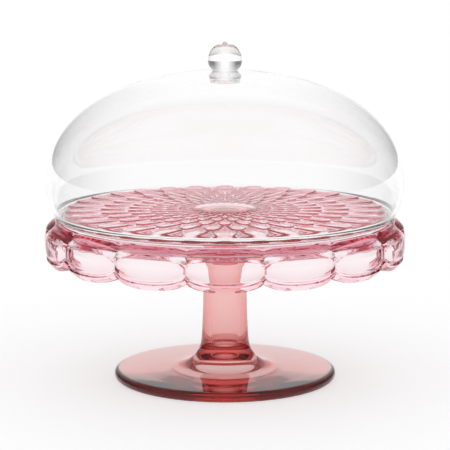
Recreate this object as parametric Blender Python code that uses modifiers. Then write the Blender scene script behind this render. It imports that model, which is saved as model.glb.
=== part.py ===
# Pedestal cake stand with a lift-off dome.
# A hollow-stemmed foot carries a round plate with a skirt of fifteen lobes.
# The dome stands on a ledge round the plate and is lifted by a knob.
# Metres, +Z up. The origin is on the floor, on the axis of the stem.
from math import acos, asin, cos, pi, sin, sqrt, tau

import bmesh
import bpy
from mathutils import Matrix, Vector

# Fits
gap = 0.0003                # between pieces that rest on each other
slipFit = 0.0004            # round a stud or a spigot in its hole

# Steps round a turned piece
turnSteps = 48
smallSteps = 24             # the knob and what holds it

# Foot and stem
footRadius = 0.0852
footRim = 0.0077            # thickness of the foot's full-round edge
footRise = 0.0013           # how much the foot's top climbs towards the stem
recessRadius = 0.027        # hollow under the foot
recessHeight = 0.019
stemRadius = 0.0165
stemFloor = 0.005           # solid between the hollow underneath and the stem's bore
stemFlareHeight = 0.040     # where the stem begins to spread into the foot
stemFlareRadius = 0.034     # where that curve meets the foot
collarRadius = 0.0194       # top of the stem, the ring and the plate's boss
collarHeight = 0.0028

# Plate
standHeight = 0.1316        # floor to the top of the plate
plateThickness = 0.0057
patternRadius = 0.1218      # outer tips of the petals on top
patternDraft = 0.0015       # slope of the petals' outer wall
ledgeDrop = 0.0090          # top of the plate to the dome's ledge
ledgeThickness = 0.0032
bossHeight = 0.0045
ringThickness = 0.0020
spigotRadius = 0.0104       # goes into the stem
spigotLength = 0.016
lobes = 15
stepsPerLobe = 6
shoulderRise = 0.0012       # the lobes' tips stand above the ledge
shoulderReach = 0.0082      # from the tips out to the top of the lobes
shoulderDrop = 0.0068
skirtBulge = 0.0030         # the lobes' widest line beyond their top
skirtDrop = 0.0250          # top of the lobes to their bottom edge
skirtTuck = 0.0060          # the bottom edge comes in by this much
skirtWall = 0.0046
lobeValley = 0.0033         # depth of the fold between two lobes
lobeNotch = 0.0050          # height of the notch under each fold

# Dome
domeWall = 0.0024
rimClearance = 0.0013       # rim to the petals' wall
rimPlay = 0.0010            # rim to the lobes' tips
rimHeight = 0.0036          # the straight bead at the dome's rim
rimBead = 0.0010            # how far the bead stands out
domeBelly = 0.0073          # widest line beyond the neck
domeBellyHeight = 0.0262    # widest line above the neck
domeRise = 0.0816           # top above the widest line
domeSquareness = 2.11       # 2 is an ellipse, more is fuller at the shoulder

# Knob and its fixings
studRadius = 0.0038
studReach = 0.0031          # of the stud inside the nut
washerRadius = 0.0099
washerThickness = 0.0006
nutRadius = 0.0116
nutFloor = 0.0012
knobRadius = 0.0130
knobBaseRadius = 0.0086
knobBelow = 0.0098          # half height of the lower curve
knobAbove = 0.0140          # half height of the upper curve
knobFootHeight = 0.0008     # from the knob's base to its neck
knobNeck = 0.0075           # from the neck up to the widest line
knobDishRadius = 0.0070
knobDishDepth = 0.0013
knobNubRadius = 0.0021
knobNubHeight = 0.0028


# Height of the dome's outside at a radius within its widest line.
def domeHeight(radius):
    share = (radius / bellyRadius) ** domeSquareness
    return bellyHeight + domeRise * (1 - share) ** (1 / domeSquareness)


# Worked out from the sizes above
ledgeHeight = standHeight - ledgeDrop
plateUnderside = standHeight - plateThickness
bossUnderside = plateUnderside - bossHeight
ringTop = bossUnderside - gap
stemTop = ringTop - ringThickness - gap
boreRadius = spigotRadius + slipFit
wallFootRadius = patternRadius + patternDraft
rimInner = wallFootRadius + rimClearance
rimOuter = rimInner + domeWall
ledgeOuter = rimOuter + rimPlay
tipRadius = ledgeOuter + 0.0008
tipHeight = ledgeHeight + shoulderRise
lobeTopRadius = tipRadius + shoulderReach
lobeTopHeight = tipHeight - shoulderDrop
skirtBottom = lobeTopHeight - skirtDrop
rimBottom = ledgeHeight + gap
neckRadius = rimOuter - rimBead
neckHeight = rimBottom + rimHeight
bellyRadius = neckRadius + domeBelly
bellyHeight = neckHeight + domeBellyHeight
domeTop = bellyHeight + domeRise
holeRadius = studRadius + slipFit
washerBottom = domeTop + gap
knobBottom = washerBottom + washerThickness + gap
nutTop = domeHeight(nutRadius) - domeWall - gap
nutHeight = studReach + gap + nutFloor


# Points on an ellipse's arc; angles run from the radius axis towards +Z.
def arc(centre, radii, start, end, steps):
    angles = [start + (end - start) * i / steps for i in range(steps + 1)]
    return [(centre[0] + radii[0] * cos(a), centre[1] + radii[1] * sin(a)) for a in angles]


# Points on a smooth curve from start to end that leans towards pull.
def blend(start, pull, end, steps):
    points = []
    for i in range(steps + 1):
        t = i / steps
        weights = ((1 - t) ** 2, 2 * t * (1 - t), t * t)
        points.append(tuple(sum(w * p[k] for w, p in zip(weights, (start, pull, end)))
                            for k in (0, 1)))
    return points


def makeMaterial(name, colour, roughness, alpha):
    material = bpy.data.materials.new(name)
    material.use_nodes = True
    shader = material.node_tree.nodes["Principled BSDF"]
    shader.inputs["Base Color"].default_value = (*colour, 1)
    shader.inputs["Roughness"].default_value = roughness
    shader.inputs["Metallic"].default_value = 0
    shader.inputs["Alpha"].default_value = alpha
    return material


# A mesh of the edges of an outline given as (radius, height) points.
def outlineMesh(name, outline, closed):
    bm = bmesh.new()
    corners = [bm.verts.new((radius, 0, height)) for radius, height in outline]
    for first, second in zip(corners, corners[1:]):
        bm.edges.new((first, second))
    if closed:
        bm.edges.new((corners[-1], corners[0]))
    mesh = bpy.data.meshes.new(name)
    bm.to_mesh(mesh)
    bm.free()
    return mesh


def addObject(name, mesh, material, collection, parent=None):
    obj = bpy.data.objects.new(name, mesh)
    mesh.materials.append(material)
    collection.objects.link(obj)
    obj.parent = parent
    return obj


# A solid turned round Z; the outline runs down its outer side.
def addTurned(name, outline, material, collection, steps, parent=None, closed=False):
    obj = addObject(name, outlineMesh(name, outline, closed), material, collection, parent)
    screw = obj.modifiers.new("Turn", "SCREW")
    screw.axis = "Z"
    screw.angle = tau
    screw.steps = steps
    screw.render_steps = steps
    screw.use_merge_vertices = True
    screw.merge_threshold = 0.00001
    screw.use_smooth_shade = True
    return obj


def footOutline():
    boreFloor = recessHeight + stemFloor
    rimHalf = footRim / 2
    topInside = footRim + footRise
    outline = [(0, boreFloor), (boreRadius, boreFloor), (boreRadius, stemTop)]
    outline += [(collarRadius, stemTop), (collarRadius, stemTop - collarHeight)]
    outline += [(stemRadius, stemTop - 2.2 * collarHeight)]
    outline += blend((stemRadius, stemFlareHeight), (stemRadius, topInside),
                     (stemFlareRadius, topInside), 6)
    outline += arc((footRadius - rimHalf, rimHalf), (rimHalf, rimHalf), pi / 2, -pi / 2, 6)
    outline += arc((0, 0), (recessRadius, recessHeight), 0, pi / 2, 5)
    return outline[:-1] + [(0, recessHeight)]


def ringOutline():
    bottom = ringTop - ringThickness
    return [(boreRadius, ringTop), (collarRadius, ringTop),
            (collarRadius, bottom), (boreRadius, bottom)]


def plateOutline():
    widest = lobeTopRadius + skirtBulge
    widestHeight = lobeTopHeight - 0.36 * skirtDrop
    bottomRadius = widest - skirtTuck
    outside = blend((lobeTopRadius, lobeTopHeight), (widest, lobeTopHeight - 0.1 * skirtDrop),
                    (widest, widestHeight), 3)
    outside += blend((widest, widestHeight), (widest, skirtBottom + 0.3 * skirtDrop),
                     (bottomRadius, skirtBottom), 4)[1:]
    inside = [(radius - skirtWall, height) for radius, height in reversed(outside)]
    inside[0] = (bottomRadius - skirtWall / 2, skirtBottom + 0.0002)
    spigotEnd = bossUnderside - spigotLength
    outline = [(0, standHeight), (patternRadius, standHeight), (wallFootRadius, ledgeHeight)]
    outline += [(ledgeOuter, ledgeHeight), (tipRadius, tipHeight)]
    outline += outside + inside[:-2]
    outline += [(ledgeOuter, ledgeHeight - ledgeThickness - 0.0008)]
    outline += [(wallFootRadius, ledgeHeight - ledgeThickness)]
    outline += [(patternRadius - 0.004, plateUnderside), (collarRadius + 0.0015, plateUnderside)]
    outline += [(collarRadius, plateUnderside - 0.0015), (collarRadius, bossUnderside)]
    outline += [(spigotRadius, bossUnderside), (spigotRadius, spigotEnd), (0, spigotEnd)]
    return outline


# Draws the skirt in at the folds between lobes and notches its edge there.
def foldLobes(bm):
    pitch = tau / lobes
    for vert in bm.verts:
        if vert.co.xy.length < ledgeOuter or vert.co.z > lobeTopHeight + 0.0001:
            continue
        angle = Vector((0, -1)).angle_signed(vert.co.xy)
        share = abs((angle / pitch + 0.5) % 1 - 0.5) * 2
        fold = share ** 3
        radius = vert.co.xy.length
        drop = min(1, (tipHeight - vert.co.z) / (tipHeight - lobeTopHeight + 0.3 * skirtDrop))
        lift = max(0, 1 - (vert.co.z - skirtBottom) / (0.5 * skirtDrop))
        scale = 1 - lobeValley * fold * drop / radius
        vert.co.x *= scale
        vert.co.y *= scale
        vert.co.z += lobeNotch * fold * lift


def addPlate(material, collection):
    steps = lobes * stepsPerLobe
    mesh = outlineMesh("plate", plateOutline(), False)
    bm = bmesh.new()
    bm.from_mesh(mesh)
    # The first outline stands at a lobe's centre line.
    bmesh.ops.rotate(bm, verts=bm.verts, cent=(0, 0, 0), matrix=Matrix.Rotation(-pi / 2, 3, "Z"))
    bmesh.ops.spin(bm, geom=bm.verts[:] + bm.edges[:], cent=(0, 0, 0), axis=(0, 0, 1),
                   angle=tau, steps=steps, use_merge=True)
    bmesh.ops.remove_doubles(bm, verts=bm.verts, dist=0.000005)
    foldLobes(bm)
    bmesh.ops.recalc_face_normals(bm, faces=bm.faces)
    bm.to_mesh(mesh)
    bm.free()
    mesh.shade_smooth()
    mesh.set_sharp_from_angle(angle=0.6)
    return addObject("plate", mesh, material, collection)


# The dome's outer line from the hole at its top down to the rim.
def domeOutline():
    power = 2 / domeSquareness
    holeAngle = (holeRadius / bellyRadius) ** (1 / power)
    outline = []
    upperSteps = 11
    for i in range(upperSteps):
        t = holeAngle + (pi / 2 - holeAngle) * i / upperSteps
        outline.append((bellyRadius * sin(t) ** power, bellyHeight + domeRise * cos(t) ** power))
    drop = bellyHeight - neckHeight
    bend = (drop * drop + domeBelly * domeBelly) / (2 * domeBelly)
    lowerSteps = 4
    for i in range(lowerSteps + 1):
        down = drop * i / lowerSteps
        outline.append((bellyRadius - bend + sqrt(bend * bend - down * down), bellyHeight - down))
    outline += [(rimOuter, neckHeight - rimBead), (rimOuter, rimBottom)]
    return outline


def addDome(material, collection, parent):
    dome = addTurned("dome", domeOutline(), material, collection, turnSteps, parent)
    shell = dome.modifiers.new("Wall", "SOLIDIFY")
    shell.thickness = domeWall
    shell.offset = -1
    return dome


def knobOutline():
    middle = knobBottom + knobFootHeight + knobNeck
    neckAngle = -asin(knobNeck / knobBelow)
    rimAngle = acos(knobDishRadius / knobRadius)
    rimTop = middle + knobAbove * sin(rimAngle)
    dish = rimTop - knobDishDepth
    outline = arc((0, rimTop), (knobNubRadius, knobNubHeight), pi / 2, 0, 4)
    outline[0] = (0, rimTop + knobNubHeight)
    outline += [(knobNubRadius * 1.3, dish), (knobDishRadius * 0.75, dish)]
    outline += arc((0, middle), (knobRadius, knobAbove), rimAngle, 0, 7)
    outline += arc((0, middle), (knobRadius, knobBelow), 0, neckAngle, 4)[1:]
    outline += [(knobBaseRadius, knobBottom), (studRadius, knobBottom)]
    outline += [(studRadius, nutTop - studReach), (0, nutTop - studReach)]
    return outline


def washerOutline():
    top = washerBottom + washerThickness
    return [(holeRadius, top), (washerRadius, top), (washerRadius, washerBottom),
            (holeRadius, washerBottom)]


def nutOutline():
    bottom = nutTop - nutHeight
    corner = 0.0012
    outline = [(0, nutTop - studReach - gap), (holeRadius, nutTop - studReach - gap)]
    outline += [(holeRadius, nutTop)]
    outline += arc((nutRadius - corner, nutTop - corner), (corner, corner), pi / 2, 0, 2)
    outline += arc((nutRadius - corner, bottom + corner), (corner, corner), 0, -pi / 2, 2)
    return outline + [(0, bottom)]


def clearScene():
    for obj in list(bpy.data.objects):
        bpy.data.objects.remove(obj, do_unlink=True)


def newCollection(name):
    collection = bpy.data.collections.new(name)
    bpy.context.scene.collection.children.link(collection)
    return collection


def main():
    clearScene()
    collection = newCollection("cake_stand")
    salmon = makeMaterial("salmon_acrylic", (0.72, 0.22, 0.20), 0.05, 0.55)
    rose = makeMaterial("rose_acrylic", (0.80, 0.36, 0.42), 0.06, 0.5)
    clear = makeMaterial("clear_acrylic", (0.93, 0.94, 0.95), 0.03, 0.25)
    silicone = makeMaterial("clear_silicone", (0.86, 0.86, 0.87), 0.35, 0.6)

    lift = bpy.data.objects.new("dome_lift", None)
    lift.location = (0, 0, 0)
    collection.objects.link(lift)

    addTurned("foot", footOutline(), salmon, collection, turnSteps)
    addTurned("stem_ring", ringOutline(), silicone, collection, turnSteps, closed=True)
    addPlate(rose, collection)
    addDome(clear, collection, lift)
    addTurned("knob_washer", washerOutline(), silicone, collection, smallSteps, lift, closed=True)
    addTurned("knob", knobOutline(), clear, collection, smallSteps, lift)
    addTurned("knob_nut", nutOutline(), clear, collection, smallSteps, lift)


main()
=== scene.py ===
from math import acos, asin, cos, degrees, log, pi, radians, sin, sqrt, tau

import bmesh
import bpy
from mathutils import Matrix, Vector


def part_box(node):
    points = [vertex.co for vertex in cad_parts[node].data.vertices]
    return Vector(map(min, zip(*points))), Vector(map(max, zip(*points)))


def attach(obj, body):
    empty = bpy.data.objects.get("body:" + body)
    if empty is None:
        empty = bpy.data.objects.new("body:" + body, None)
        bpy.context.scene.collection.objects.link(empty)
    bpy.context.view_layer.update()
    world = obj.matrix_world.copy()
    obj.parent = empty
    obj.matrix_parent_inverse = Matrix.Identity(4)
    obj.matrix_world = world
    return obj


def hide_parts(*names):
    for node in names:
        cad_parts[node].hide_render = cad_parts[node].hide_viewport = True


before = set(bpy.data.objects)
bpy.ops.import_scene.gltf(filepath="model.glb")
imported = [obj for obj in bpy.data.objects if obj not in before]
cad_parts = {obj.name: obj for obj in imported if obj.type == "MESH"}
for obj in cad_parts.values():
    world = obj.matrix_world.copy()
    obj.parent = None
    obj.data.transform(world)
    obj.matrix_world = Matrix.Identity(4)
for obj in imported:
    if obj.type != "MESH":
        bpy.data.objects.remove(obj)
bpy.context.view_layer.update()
mm = 0.001                      # lengths are in millimetres until a mesh is made
restGap = 0.3                   # between pieces that rest on each other
weldDistance = 0.002            # points closer than this are one
sortWeights = Vector((1.0, 37.1, 911.3))    # gives each point of a piece a number of its own
print("frame loaded")


# The lowest and highest corners of a CAD piece.
def nodeBox(node):
    low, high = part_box(node)
    return Vector(low) / mm, Vector(high) / mm


# Points on part of an ellipse, from one angle in degrees to another.
def arcPoints(centre, radii, start, end, steps):
    angles = [radians(start + (end - start) * i / steps) for i in range(steps + 1)]
    return [(centre[0] + radii[0] * cos(a), centre[1] + radii[1] * sin(a)) for a in angles]


# A smooth line through a few points, with the same number of steps in each stretch.
def smoothThrough(points, steps):
    ends = [points[0]] + list(points) + [points[-1]]
    line = [points[0]]
    for before, first, last, after in zip(ends, ends[1:], ends[2:], ends[3:]):
        for i in range(1, steps + 1):
            t = i / steps
            weights = (-t + 2 * t * t - t ** 3, 2 - 5 * t * t + 3 * t ** 3,
                       t + 4 * t * t - 3 * t ** 3, t ** 3 - t * t)
            stretch = list(zip(weights, (before, first, last, after)))
            line.append(tuple(sum(w * p[k] for w, p in stretch) / 2 for k in (0, 1)))
    return line


# A straight run of points.
def evenRun(first, last, steps):
    return [tuple(a + (b - a) * i / steps for a, b in zip(first, last))
            for i in range(steps + 1)]


# The same line moved sideways, to its right hand when it runs down an outer wall.
def offsetLine(line, distance):
    moved = []
    for i, point in enumerate(line):
        before = line[max(i - 1, 0)]
        after = line[min(i + 1, len(line) - 1)]
        run = Vector((after[0] - before[0], after[1] - before[1])).normalized()
        moved.append((point[0] + run.y * distance, point[1] - run.x * distance))
    return moved


# Closes the mesh, points it outwards, and hands it over in place of its CAD piece.
def finishPiece(name, bm, material, body, node, sharpAngle=40):
    bmesh.ops.remove_doubles(bm, verts=bm.verts, dist=weldDistance * mm)
    bmesh.ops.dissolve_degenerate(bm, edges=bm.edges, dist=weldDistance / 4 * mm)
    bmesh.ops.recalc_face_normals(bm, faces=bm.faces)
    mesh = bpy.data.meshes.new(name)
    bm.to_mesh(mesh)
    bm.free()
    mesh.shade_smooth()
    mesh.set_sharp_from_angle(angle=radians(sharpAngle))
    piece = bpy.data.objects.new(name, mesh)
    bpy.context.scene.collection.objects.link(piece)
    mesh.materials.append(material)
    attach(piece, body)
    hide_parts(node)
    print("made", name)


# Turns a line round the upright axis; its first column stands at the front.
def spinLine(line, steps, closed=False):
    bm = bmesh.new()
    verts = [bmesh.ops.create_vert(bm, co=(0, -radius * mm, height * mm))["vert"][0]
             for radius, height in line]
    for first, second in zip(verts, verts[1:] + verts[:1] * closed):
        bm.edges.new((first, second))
    bmesh.ops.spin(bm, geom=bm.verts[:] + bm.edges[:], cent=(0, 0, 0), axis=(0, 0, 1),
                   angle=tau, steps=steps, use_merge=True)
    # The spin leaves its points and faces in no fixed order, so they are sorted.
    bm.verts.sort(key=lambda v: v.co.dot(sortWeights))
    for elements in (bm.edges, bm.faces):
        elements.sort(key=lambda e: sum(v.co.dot(sortWeights) for v in e.verts))
    return bm


# An sRGB hex colour as the linear values that a shader takes.
def hexColour(code):
    channels = [int(code[i:i + 2], 16) / 255 for i in (0, 2, 4)]
    linear = [c / 12.92 if c <= 0.04045 else ((c + 0.055) / 1.055) ** 2.4 for c in channels]
    return tuple(linear) + (1,)


# Adds one node; settings name its properties or sockets, links name what feeds them.
def addNode(tree, kind, settings=(), links=()):
    node = tree.nodes.new(kind)
    for name, value in dict(settings).items():
        if isinstance(name, int) or name in node.inputs:
            node.inputs[name].default_value = value
        else:
            setattr(node, name, value)
    for name, source in dict(links).items():
        tree.links.new(source, node.inputs[name])
    return node


plastic = {
    "ior": 1.491,
    "swell": 35.7,              # millimetres from one slow swell of the surface to the next
    "swellHeight": 1.0,
    "patch": 12.5,              # millimetres from one duller patch to the next
    "patchRoughness": 0.03,
    "waviness": 0.02,
    "softWaviness": 0.05,
    "salmon": ("ec5d3f", 62.0),     # tint, and how fast it deepens through a metre
    "rose": ("f2007c", 50.0),
    "clear": ("ffffff", 0.0),
}


# Moulded clear plastic: glass-clear and glossy, so it refracts crisply, and a tinted one is
# palest where it is thin and deepest along its edges.
def clearPlastic(name, colour, waviness):
    tint, density = colour
    material = bpy.data.materials.new(name)
    material.use_nodes = True
    tree = material.node_tree
    tree.nodes.clear()
    place = addNode(tree, "ShaderNodeTexCoord")
    # Flow in the mould leaves slow swells that bend reflections slightly.
    flow = addNode(tree, "ShaderNodeTexNoise",
                   {"Scale": 1 / (plastic["swell"] * mm), "Detail": 1.0},
                   {"Vector": place.outputs["Object"]})
    bump = addNode(tree, "ShaderNodeBump",
                   {"Strength": waviness, "Distance": plastic["swellHeight"] * mm},
                   {"Height": flow.outputs["Fac"]})
    # Handling leaves faint patches where the polish is duller.
    wipe = addNode(tree, "ShaderNodeTexNoise",
                   {"Scale": 1 / (plastic["patch"] * mm), "Detail": 3.0},
                   {"Vector": place.outputs["Object"]})
    gloss = addNode(tree, "ShaderNodeMapRange",
                    {"To Min": 0.0, "To Max": plastic["patchRoughness"]},
                    {"Value": wipe.outputs["Fac"]})
    shader = addNode(tree, "ShaderNodeBsdfPrincipled",
                     {"Base Color": (1, 1, 1, 1), "IOR": plastic["ior"],
                      "Transmission Weight": 1.0},
                     {"Roughness": gloss.outputs["Result"], "Normal": bump.outputs["Normal"]})
    out = addNode(tree, "ShaderNodeOutputMaterial", (), {"Surface": shader.outputs["BSDF"]})
    if density:
        depth = addNode(tree, "ShaderNodeVolumeAbsorption",
                        {"Color": hexColour(tint), "Density": density})
        tree.links.new(depth.outputs["Volume"], out.inputs["Volume"])
    return material


salmonAcrylic = clearPlastic("salmonAcrylic", plastic["salmon"], plastic["waviness"])
roseAcrylic = clearPlastic("roseAcrylic", plastic["rose"], plastic["waviness"])
clearAcrylic = clearPlastic("clearAcrylic", plastic["clear"], plastic["waviness"])
# The seals are soft, so their reflections are less straight.
clearSilicone = clearPlastic("clearSilicone", plastic["clear"], plastic["softWaviness"])
print("materials made")


foot = {
    "rim": 7.7,                 # thickness of the full-round edge
    "stemTop": 16.4,            # radius under the collar
    "bore": 10.8,
    "boreFloor": 24.0,
    "boreRound": 3.0,           # how far its floor dips in the middle
    "boreWall": 8.0,            # height above the floor where its straight wall starts
    "recess": (27.0, 19.0),     # radius and height of the hollow underneath
    "collarHeight": 2.8,
    "edge": 0.5,                # rounding of the collar's corners
    "flare": [(16.5, 84), (16.8, 60), (17.3, 44), (18.1, 31), (19.6, 24), (22.6, 18.6),
              (27.2, 13.8), (33, 10.9), (41, 9.6), (54, 8.9), (68, 8.2)],
    "columns": 192,
}


# Down the bore, over the collar, down the stem, round the rim and up into the recess.
def footLine():
    top = nodeBox("foot")[1].z
    radius = nodeBox("foot")[1].x
    collar = nodeBox("stem_ring")[1].x
    half = foot["rim"] / 2
    edge = foot["edge"]
    low = top - foot["collarHeight"]
    bore = foot["bore"]
    floor = foot["boreFloor"]
    line = arcPoints((0, floor + foot["boreRound"]), (bore, foot["boreRound"]), -90, 0, 6)
    line += evenRun((bore, floor + foot["boreWall"]), (bore, top - edge), 6)
    line += arcPoints((bore + edge, top - edge), (edge, edge), 180, 90, 3)
    line += arcPoints((collar - edge, top - edge), (edge, edge), 90, 0, 3)
    line += arcPoints((collar - edge, low + edge), (edge, edge), 0, -60, 3)
    line += smoothThrough([(foot["stemTop"] + 0.5, low - 1.6), (foot["stemTop"], low - 5)]
                          + foot["flare"], 5)
    line += arcPoints((radius - half, half), (half, half), 90, -90, 18)
    line += evenRun((radius - 2 * half, 0), (foot["recess"][0] + 0.6, 0), 4)
    line += arcPoints((0, 0), foot["recess"], 1.5, 90, 16)
    line[0] = (0, line[0][1])       # both ends lie on the axis
    line[-1] = (0, line[-1][1])
    return line


finishPiece("footBody", spinLine(footLine(), foot["columns"]), salmonAcrylic, "stand", "foot")


# The section of a flat ring with rounded corners.
def ringLine(node, inner, edge):
    low, high = nodeBox(node)
    outer = high.x
    corners = [(inner + edge, high.z - edge, 180, 90), (outer - edge, high.z - edge, 90, 0),
               (outer - edge, low.z + edge, 0, -90), (inner + edge, low.z + edge, 270, 180)]
    line = []
    for across, height, start, end in corners:
        line += arcPoints((across, height), (edge, edge), start, end, 3)
    return line


finishPiece("stemRing", spinLine(ringLine("stem_ring", foot["bore"], 0.4), 128, closed=True),
            clearSilicone, "stand", "stem_ring")


plate = {
    "thickness": 8.2,
    "hub": 24.5,                # radius of the plain middle
    "petals": 30,               # in each ring
    "rings": 7,
    "tip": 121.8,               # radius of the outer petals' tips
    "ringRatio": 1.281,         # each ring's tips against the next ring's inwards
    "tipShape": 2.6,            # above 2 the petals' ends are blunter
    "petalRise": 1.3,           # an outer petal climbs this much from its root to its tip
    "underRise": 2.0,           # the same for the petals underneath
    "riseFade": 0.8,            # above 0 the petals are lower towards the middle
    "climbShape": 1.2,          # above 1 a petal levels off near its tip
    "nose": 0.10,               # share of a petal's length that its rounded end takes
    "noseDrop": 0.4,            # and how far that end falls, as a share of the climb
    "scoop": 0.16,              # hollow across a petal, as a share of its width
    "scoopEnds": 0.7,           # below 1 the hollow reaches nearer the petal's ends
    "topScoop": 0.25,           # share of that hollow on top
    "underScoop": 0.5,          # and underneath
    "edge": 121.8,              # the round edge that cuts the outermost petals off
    "topSteps": (0, 0.18, 0.38, 0.58, 0.76, 0.89, 0.95, 0.985, 1),
    "underSteps": (0, 0.25, 0.5, 0.75, 0.93, 1),
    "rimInside": 117.5,         # the same edge underneath, inside the wall
    "wallFoot": 123.3,          # radius of the wall where it meets the ledge
    "humpPitch": 6.0,           # degrees from one pointed hump of the wall to the next
    "humpLine": 126.0,
    "humpRise": 1.2,
    "ledge": 122.6,             # height of the ledge that the dome sits on
    "ledgeOuter": 128.0,
    "ledgeThickness": 4.1,
    "shoulderTop": 123.8,       # height of the shoulder beside that ledge
    "columns": 480,
}
skirt = {
    "lobes": 15,
    "crest": [(128.8, 123.8), (133.2, 121.0), (137.0, 117.0), (139.3, 112.6), (139.9, 108.0),
              (139.3, 102.4), (137.4, 96.6), (134.0, 92.2)],
    "inside": [(129.6, 92.2), (132.4, 96.8), (135.3, 102.4), (136.8, 108.0), (136.2, 112.6),
               (133.3, 116.3), (128.0, 118.1)],
    "widest": 139.9,            # radius of the crest at its widest
    "hollowWidest": 136.9,      # and of the hollow behind it
    "lens": 67.0,               # radius of a lobe's outer curve, seen from above
    "scoop": 52.0,              # radius of the hollow behind it
    "oval": (29.9, 10.2),       # half width and half height of a lobe's clear oval
    "ovalReach": 137.0,         # distance from the axis at which that width is measured
    "ovalMiddle": 106.7,
    "ovalShape": 2.5,
    "bevel": 0.9,               # how steeply the surface falls away outside the oval
    "lip": (1.0, 1.1),          # the ridge round each oval: height above the lens, and width
    "tuck": (2.4, 3.0),         # the lens turns in above its lower lip: depth and height
    "notch": 5.0,               # rise of the bottom edge between two lobes
    "ovalRows": 24,
}
boss = {
    "radius": nodeBox("stem_ring")[1].x,
    "spigot": 10.4,
    "edge": 1.5,                # rounding where it meets the plate
    "corner": 0.5,
    "chamfer": 0.3,
    "spigotCorner": 0.8,
}


# The radius of a line at a height.
def radiusAt(line, height):
    for (r0, z0), (r1, z1) in zip(line, line[1:]):
        if min(z0, z1) <= height <= max(z0, z1):
            return r0 + (r1 - r0) * (height - z0) / (z1 - z0 or 1)
    return line[0][0] if abs(height - line[0][1]) < abs(height - line[-1][1]) else line[-1][0]


# How far a round lobe falls back from its crest at an angle from its middle.
def lobeFall(crest, curve, angle):
    centre = crest - curve
    return crest - centre * cos(angle) - sqrt(curve ** 2 - (centre * sin(angle)) ** 2)


# One row of points in a ring of petals; side is 1 on top and -1 underneath.
def petalRow(ring, t, surface, side, edge):
    pitch = tau / plate["petals"]
    ratio = log(plate["ringRatio"])
    tipLevel = log(plate["tip"]) / ratio - ring
    edgeLevel = log(edge) / ratio
    shape = plate["tipShape"]
    fullRise = plate["petalRise"] if side == 1 else plate["underRise"]
    scoopShare = plate["topScoop"] if side == 1 else plate["underScoop"]

    def place(angle):
        turn = angle / pitch + (0.5 if ring % 2 else 0.0)
        across = abs(turn - round(turn)) * 2
        outer = tipLevel - across ** shape
        inner = tipLevel - 1 - (1 - across) ** shape
        level = inner + (min(outer, edgeLevel) - inner) * t
        share = min(max((level - inner) / max(outer - inner, 0.001), 0), 1)
        radius = min(max(plate["hub"], plate["ringRatio"] ** level), edge)
        hollow = plate["scoop"] * radius * pitch * (1 - across ** 2)
        hollow *= sin(pi * share) ** plate["scoopEnds"]
        rise = fullRise * (radius / plate["edge"]) ** plate["riseFade"]
        nose = max(0, share - 1 + plate["nose"]) / plate["nose"]
        climb = (1 - share) ** plate["climbShape"]
        drop = plate["noseDrop"] * (1 - sqrt(1 - nose ** 2))
        fall = rise * (climb + drop) + hollow * scoopShare
        return radius, surface - side * fall
    return place


# A plain round row.
def fixedRow(radius, height):
    return lambda angle: (radius, height)


# The wall under the petals steps out along a line of pointed humps.
def humpRow(radius, rise):
    def place(angle):
        turn = angle / radians(plate["humpPitch"])
        swing = 1 - abs(turn - round(turn)) * 2
        return radius, plate["humpLine"] + rise + plate["humpRise"] * swing ** 2
    return place


# One row down the outside of the skirt: over the shoulder, down the ovals or the band below.
def outerRow(along, level):
    tipHeight = plate["shoulderTop"]
    middle = skirt["ovalMiddle"]
    half = skirt["oval"][1]
    pitch = tau / skirt["lobes"]

    def place(angle):
        turn = angle / pitch
        offset = (turn - round(turn)) * pitch
        sideways = abs(offset) * skirt["ovalReach"] / skirt["oval"][0]
        pinch = (1 - min(sideways, 0.999) ** skirt["ovalShape"]) ** (1 / skirt["ovalShape"])
        fold = abs(offset * 2 / pitch) ** 3
        ovalTop = middle + half * pinch
        ovalLow = middle - half * pinch
        bottom = skirt["crest"][-1][1] + skirt["notch"] * fold
        lipHeight, lipWidth = skirt["lip"]
        if level == "shoulder":
            low = ovalTop + lipWidth
            height = tipHeight + (low - tipHeight) * along
            blend = along
            gap = height - low
            recess = 0
        elif level == "oval":
            height = ovalTop + (ovalLow - ovalTop) * along
            blend = 1
            gap = 0
            inward = min(height - ovalLow, ovalTop - height,
                         (1 - sideways) * skirt["oval"][0] * 1.2)
            recess = lipHeight * min(1, inward / (1.6 * lipWidth))
            tuckDepth, tuckHeight = skirt["tuck"]
            recess += tuckDepth * max(0, 1 - (height - ovalLow) / tuckHeight) * min(1, inward / 0.4)
        else:
            high = ovalLow - lipWidth
            height = high + (bottom - high) * along
            blend = 1
            gap = high - height
            recess = 0
        radius = radiusAt(crestLine, height)
        radius -= blend * lobeFall(skirt["widest"], skirt["lens"], offset)
        radius -= skirt["bevel"] * gap * abs(offset * 2 / pitch) ** 1.5 * min(1, blend * 2) + recess
        return radius, height
    return place


# One row up the inside of the skirt.
def innerRow(point):
    pitch = tau / skirt["lobes"]
    low = skirt["inside"][0][1]
    high = skirt["inside"][-1][1]

    def place(angle):
        turn = angle / pitch
        offset = (turn - round(turn)) * pitch
        fold = abs(offset * 2 / pitch) ** 3
        rise = (point[1] - low) / (high - low)
        blend = min(1, (1 - rise) * 4)
        radius = point[0] - blend * lobeFall(skirt["hollowWidest"], skirt["scoop"], offset)
        return radius, point[1] + skirt["notch"] * fold * max(0, 1 - rise * 2)
    return place


crestLine = smoothThrough(skirt["crest"], 8)


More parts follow.
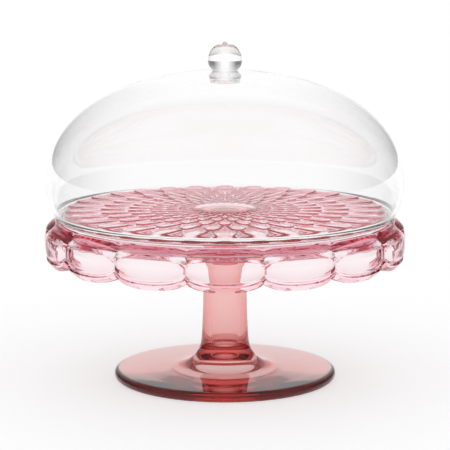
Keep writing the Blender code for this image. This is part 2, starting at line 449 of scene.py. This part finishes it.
# All the plate's rows, from the middle of its top to the middle of its spigot's end.
def plateRows():
    top = nodeBox("plate")[1].z
    spigotEnd = nodeBox("plate")[0].z
    ringTop = nodeBox("stem_ring")[1].z
    under = top - plate["thickness"]
    hub = plate["hub"]
    rows = [fixedRow(r, top) for r in (0, 8, 16, hub - 0.8)]
    for ring in range(plate["rings"] - 1, -2, -1):
        rows += [petalRow(ring, t, top, 1, plate["edge"]) for t in plate["topSteps"]]
    # Down from the petals' roots, over the humps and on to the ledge.
    wallTop = top - plate["petalRise"] - 0.4
    rows += [fixedRow(plate["edge"] + 0.2, wallTop), humpRow(plate["edge"] + 1.2, 0),
             humpRow(plate["wallFoot"], -0.5), fixedRow(plate["wallFoot"], plate["ledge"] + 0.6),
             fixedRow(plate["wallFoot"] + 0.2, plate["ledge"])]
    rows += [fixedRow(*p) for p in evenRun((plate["wallFoot"] + 1, plate["ledge"]),
                                           (plate["ledgeOuter"], plate["ledge"]), 2)]
    rows += [outerRow(i / 8, "shoulder") for i in range(9)]
    rows += [outerRow(i / skirt["ovalRows"], "oval") for i in range(skirt["ovalRows"] + 1)]
    rows += [outerRow(i / 6, "band") for i in range(7)]
    rows += [innerRow(p) for p in smoothThrough(skirt["inside"], 3)]
    # Under the ledge, and up to the plate's underside.
    low = plate["ledge"] - plate["ledgeThickness"]
    rows += [fixedRow(*p) for p in ((125.6, low), (120.5, low), (118.2, low + 1.2))]
    for ring in range(-1, plate["rings"]):
        rows += [petalRow(ring, t, under, -1, plate["rimInside"])
                 for t in plate["underSteps"][::-1]]
    # Down the boss and the spigot.
    rows += [fixedRow(hub - 0.5, under)]
    rows += [fixedRow(*p) for p in arcPoints((boss["radius"] + boss["edge"], under - boss["edge"]),
                                             (boss["edge"], boss["edge"]), 90, 180, 4)]
    bossLow = ringTop + restGap
    corner = boss["corner"]
    rows += [fixedRow(*p) for p in arcPoints((boss["radius"] - corner, bossLow + corner),
                                             (corner, corner), 0, -90, 3)]
    rows += [fixedRow(boss["spigot"] + boss["chamfer"], bossLow),
             fixedRow(boss["spigot"], bossLow - boss["chamfer"])]
    corner = boss["spigotCorner"]
    rows += [fixedRow(*p) for p in arcPoints((boss["spigot"] - corner, spigotEnd + corner),
                                             (corner, corner), 0, -90, 3)]
    rows += [fixedRow(0, spigotEnd)]
    return rows


# A flat grid is wrapped round the axis: its rows run down the outside and back underneath.
def makePlate():
    rows = plateRows()
    columns = plate["columns"]
    bm = bmesh.new()
    bmesh.ops.create_grid(bm, x_segments=len(rows) - 1, y_segments=columns, size=1)
    repeat = columns // skirt["lobes"]
    step = tau / columns
    places = [[row(column * step) for column in range(repeat)] for row in rows]
    for vert in bm.verts:
        row = round((vert.co.x + 1) / 2 * (len(rows) - 1))
        column = round((vert.co.y + 1) / 2 * columns)
        angle = column * step
        radius, height = places[row][column % repeat]
        vert.co = Vector((sin(angle) * radius, -cos(angle) * radius, height)) * mm
    finishPiece("plateBody", bm, roseAcrylic, "stand", "plate", 35)


makePlate()


dome = {
    "wall": 2.4,
    "squareness": 2.11,         # 2 is an ellipse
    "belly": 26.2,              # height of the widest line above the neck
    "bead": (3.6, 1.0),         # the straight rim: height, and how far it stands out
    "band": (4.0, 0.6),         # the thicker ring above the rim: height, and how far it bulges
    "bandCurve": 6.0,           # radius of its rounded side
    "rimRound": 0.5,
    "neckInset": 7.3,           # widest line to the neck
    "hole": 4.2,
    "crownRows": 48,
    "neckRows": 16,
    "columns": 256,
}


# Down the outside of the shell, round its rim and back up its inside.
def domeLine():
    low, high = nodeBox("dome")
    radius = -low.y
    neck = low.z + dome["bead"][0]
    belly = neck + dome["belly"]
    rise = high.z - belly
    power = 2 / dome["squareness"]
    start = (dome["hole"] / radius) ** (1 / power)
    outer = []
    for i in range(dome["crownRows"]):
        t = start + (pi / 2 - start) * (i / dome["crownRows"])
        outer.append((radius * sin(t) ** power, belly + rise * cos(t) ** power))
    bend = (dome["belly"] ** 2 + dome["neckInset"] ** 2) / (2 * dome["neckInset"])
    for i in range(dome["neckRows"] + 1):
        down = dome["belly"] * i / dome["neckRows"]
        outer.append((radius - bend + sqrt(bend ** 2 - down ** 2), belly - down))
    # The band and the bead stand out from the shell; the inside stays smooth behind them.
    neckRadius = outer[-1][0]
    inner = offsetLine(outer, -dome["wall"])
    inner[0] = (dome["hole"], inner[0][1])
    bandTop, bandOut = dome["band"]
    outer = [p for p in outer if p[1] > neck + bandTop]
    step = outer[-1][0]
    outer += [(step + 0.1, neck + bandTop - 0.1), (step + 0.5, neck + bandTop - 0.5)]
    outer += arcPoints((step - dome["bandCurve"] + bandOut, neck + bandTop / 2 - 0.3),
                       (dome["bandCurve"], bandTop), 28, -28, 8)
    bead = neckRadius + dome["bead"][1]
    outer += [(bead - 0.25, neck - 0.55), (bead, neck - 1.1)]
    edge = dome["rimRound"]
    outer += arcPoints((bead - edge, low.z + edge), (edge, edge), 0, -90, 4)
    innerRim = bead - dome["wall"]
    outer += arcPoints((innerRim + edge, low.z + edge), (edge, edge), -90, -180, 4)
    outer += [(innerRim, neck - 1.1), (innerRim - 0.4, neck - 0.5)]
    return outer + inner[::-1]


finishPiece("domeShell", spinLine(domeLine(), dome["columns"], closed=True), clearAcrylic,
            "cover", "dome", 50)


knob = {
    "foot": 8.6,
    "neck": 8.2,
    "footHeight": 0.8,
    "neckRise": 7.5,            # neck to the widest line
    "below": 9.8,               # half height of the lower curve
    "above": 14.0,              # half height of the upper curve
    "dish": (7.0, 1.3),         # radius and depth of the hollow on top
    "nub": 2.1,                 # radius of the button in the middle of that hollow
    "stud": 3.8,
    "studCorner": 0.4,
}
nut = {
    "corner": 1.2,
    "chamfer": 0.3,
}


# From the button on top, round the ball and down the stud.
def knobLine():
    low, high = nodeBox("knob")
    radius = -low.y
    base = nodeBox("knob_washer")[1].z + restGap
    middle = base + knob["footHeight"] + knob["neckRise"]
    rimAngle = degrees(acos(knob["dish"][0] / radius))
    rimTop = middle + knob["above"] * sin(radians(rimAngle))
    floor = rimTop - knob["dish"][1]
    neckAngle = -degrees(asin(knob["neckRise"] / knob["below"]))
    # The button, the hollow round it and that hollow's lip.
    line = arcPoints((0, high.z - knob["nub"]), (knob["nub"], knob["nub"]), 90, 0, 6)
    line += smoothThrough([(knob["nub"], floor + 0.7), (knob["nub"] + 0.8, floor),
                           (4.6, floor + 0.1), (6.1, rimTop - 0.35), (6.8, rimTop + 0.05)], 3)
    line += arcPoints((0, middle), (radius, knob["above"]), rimAngle - 1.5, 0, 18)[1:]
    line += arcPoints((0, middle), (radius, knob["below"]), 0, neckAngle, 12)[1:]
    line += smoothThrough([(knob["neck"], base + 0.75), (knob["foot"], base + 0.45),
                           (knob["foot"], base + 0.12), (knob["foot"] - 0.3, base)], 2)
    line += [(knob["stud"] + 0.3, base), (knob["stud"], base - 0.3)]
    line += evenRun((knob["stud"], base - 1), (knob["stud"], low.z + knob["studCorner"]), 4)
    line += [(knob["stud"] - knob["studCorner"], low.z), (0, low.z)]
    return line


# Up the nut's blind bore and down its outside.
def nutLine():
    low, high = nodeBox("knob_nut")
    radius = -low.y
    bore = dome["hole"]
    floor = nodeBox("knob")[0].z - restGap
    corner = nut["corner"]
    chamfer = nut["chamfer"]
    line = [(0, floor), (bore - knob["studCorner"], floor), (bore, floor + knob["studCorner"]),
            (bore, high.z - chamfer), (bore + chamfer, high.z)]
    line += arcPoints((radius - corner, high.z - corner), (corner, corner), 90, 0, 5)
    line += arcPoints((radius - corner, low.z + corner), (corner, corner), 0, -90, 5)
    return line + [(0, low.z)]


finishPiece("knobBody", spinLine(knobLine(), 128), clearAcrylic, "cover", "knob")
finishPiece("knobWasher", spinLine(ringLine("knob_washer", dome["hole"], 0.2), 96, closed=True),
            clearSilicone, "cover", "knob_washer")
finishPiece("capNut", spinLine(nutLine(), 96), clearAcrylic, "cover", "knob_nut")


studio = {
    "pitch": 9.65,              # the camera looks down by this many degrees
    "aimHeight": 118.4,
    "distance": 1591.0,
    "lens": 166.7,
    "sensor": 36.0,
    "floor": 8.0,               # metres from the middle to an edge
    "floorDrop": 0.4,           # and this far under the foot
    "floorColour": "d6d6d6",
    "floorGlow": 0.55,
    "wallTop": 0.67,            # cosine of the angle that the white wall reaches up to
    "wallLight": 1.0,
    "roomLight": 0.74,
    "wallSoftness": 0.05,
    "flagDepth": 0.85,          # how much of the light the flags at the sides take away
    "flagAcross": (0.11, 0.5),  # sideways, from no flag to the full flag
    "flagBehind": (-0.35, 0.25),
    "flagHeight": (0.9, 0.1),
}


def makeStudio():
    scene = bpy.context.scene
    camera = bpy.data.objects.new("camera", bpy.data.cameras.new("camera"))
    camera.data.lens = studio["lens"]
    camera.data.sensor_width = studio["sensor"]
    pitch = radians(studio["pitch"])
    away = studio["distance"] * mm
    camera.location = (0, -away * cos(pitch), studio["aimHeight"] * mm + away * sin(pitch))
    camera.rotation_euler = (pi / 2 - pitch, 0, 0)
    scene.collection.objects.link(camera)
    scene.camera = camera

    bm = bmesh.new()
    bmesh.ops.create_grid(bm, x_segments=1, y_segments=1, size=studio["floor"])
    bmesh.ops.translate(bm, verts=bm.verts, vec=(0, 0, -studio["floorDrop"] * mm))
    mesh = bpy.data.meshes.new("floor")
    bm.to_mesh(mesh)
    bm.free()
    floor = bpy.data.objects.new("floor", mesh)
    scene.collection.objects.link(floor)
    # White opal acrylic lit from below: matt and even, it shows only faint shadows.
    opal = bpy.data.materials.new("litOpalTable")
    opal.use_nodes = True
    shader = opal.node_tree.nodes["Principled BSDF"]
    shader.inputs["Base Color"].default_value = hexColour(studio["floorColour"])
    shader.inputs["Roughness"].default_value = 0.9
    shader.inputs["Specular IOR Level"].default_value = 0.0
    shader.inputs["Emission Color"].default_value = (1, 1, 1, 1)
    shader.inputs["Emission Strength"].default_value = studio["floorGlow"]
    mesh.materials.append(opal)

    world = bpy.data.worlds.new("studio")
    scene.world = world
    world.use_nodes = True
    tree = world.node_tree
    tree.nodes.clear()
    place = addNode(tree, "ShaderNodeTexCoord")
    split = addNode(tree, "ShaderNodeSeparateXYZ", (), {"Vector": place.outputs["Generated"]})
    # A white wall stands behind; the room in front is a little dimmer, and black flags
    # on both sides, level with the object and behind it, draw the edges of clear pieces.
    ahead = addNode(tree, "ShaderNodeMapRange",
                    {"From Min": studio["wallTop"] - studio["wallSoftness"],
                     "From Max": studio["wallTop"] + studio["wallSoftness"],
                     "To Min": studio["roomLight"], "To Max": studio["wallLight"]},
                    {"Value": split.outputs["Y"]})
    sideways = addNode(tree, "ShaderNodeMath", {"operation": "ABSOLUTE"}, {0: split.outputs["X"]})
    ranges = {"flagAcross": sideways.outputs["Value"], "flagBehind": split.outputs["Y"],
              "flagHeight": split.outputs["Z"]}
    across, behind, low = [addNode(tree, "ShaderNodeMapRange",
                                   {"From Min": studio[name][0], "From Max": studio[name][1]},
                                   {"Value": source}) for name, source in ranges.items()]
    both = addNode(tree, "ShaderNodeMath", {"operation": "MULTIPLY"},
                   {0: across.outputs["Result"], 1: behind.outputs["Result"]})
    flag = addNode(tree, "ShaderNodeMath", {"operation": "MULTIPLY"},
                   {0: both.outputs["Value"], 1: low.outputs["Result"]})
    share = addNode(tree, "ShaderNodeMath",
                    {"operation": "MULTIPLY_ADD", 1: -studio["flagDepth"], 2: 1.0},
                    {0: flag.outputs["Value"]})
    level = addNode(tree, "ShaderNodeMath", {"operation": "MULTIPLY"},
                    {0: ahead.outputs["Result"], 1: share.outputs["Value"]})
    wall = addNode(tree, "ShaderNodeBackground", {"Color": (1, 1, 1, 1)},
                   {"Strength": level.outputs["Value"]})
    addNode(tree, "ShaderNodeOutputWorld", (), {"Surface": wall.outputs["Background"]})

    # A ray may cross the dome, the plate and the stem, so it needs many bounces.
    scene.view_settings.view_transform = "Standard"
    scene.cycles.max_bounces = 32
    scene.cycles.transmission_bounces = 28
    scene.cycles.glossy_bounces = 12
    scene.cycles.transparent_max_bounces = 16


makeStudio()
print("studio made")
